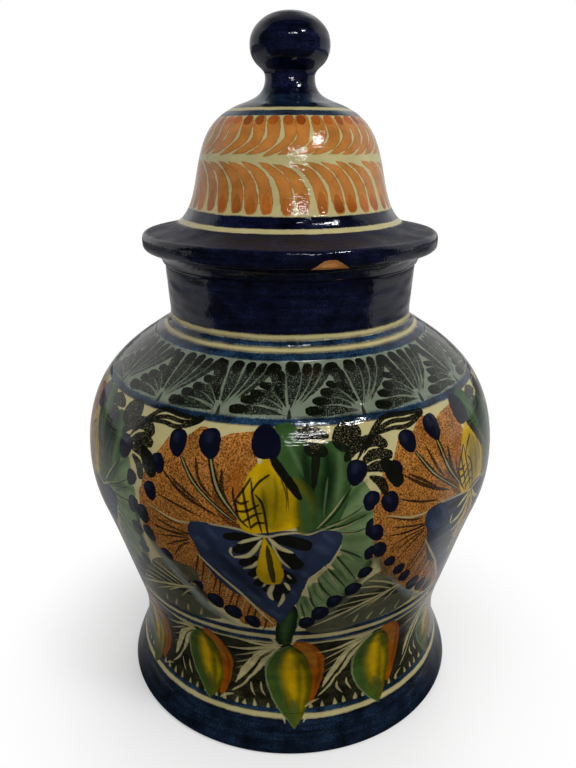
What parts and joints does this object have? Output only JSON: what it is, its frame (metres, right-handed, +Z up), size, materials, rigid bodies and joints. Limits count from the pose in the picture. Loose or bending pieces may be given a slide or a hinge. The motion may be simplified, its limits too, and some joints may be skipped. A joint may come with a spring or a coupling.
{
  "type": "lidded earthenware jar",
  "caption": "Round-bellied glazed earthenware jar with a spreading foot, short neck and a domed lift-off lid with a knob, painted with bands, leaves and fruit.",
  "frame": {"origin": "middle of the foot, on the surface that the jar stands on", "axes": "+Z up along the jar's axis, -Y towards the viewer of the picture, +X to the viewer's right"},
  "size_m": [0.2374, 0.2374, 0.3818],
  "materials": {
    "jar_glaze": "glossy painted glaze",
    "lid_glaze": "glossy painted glaze",
    "knob_glaze": "glossy dark blue glaze"
  },
  "bodies": {
    "jar": {"jar": "jar_glaze"},
    "lid": {"lid": "lid_glaze", "lid_knob": "knob_glaze"}
  },
  "joints": [
    {"name": "lid_lift", "type": "slide", "parent": "jar", "child": "lid", "axis": [0, 0, 1], "range_m": [0, 0.15]}
  ]
}
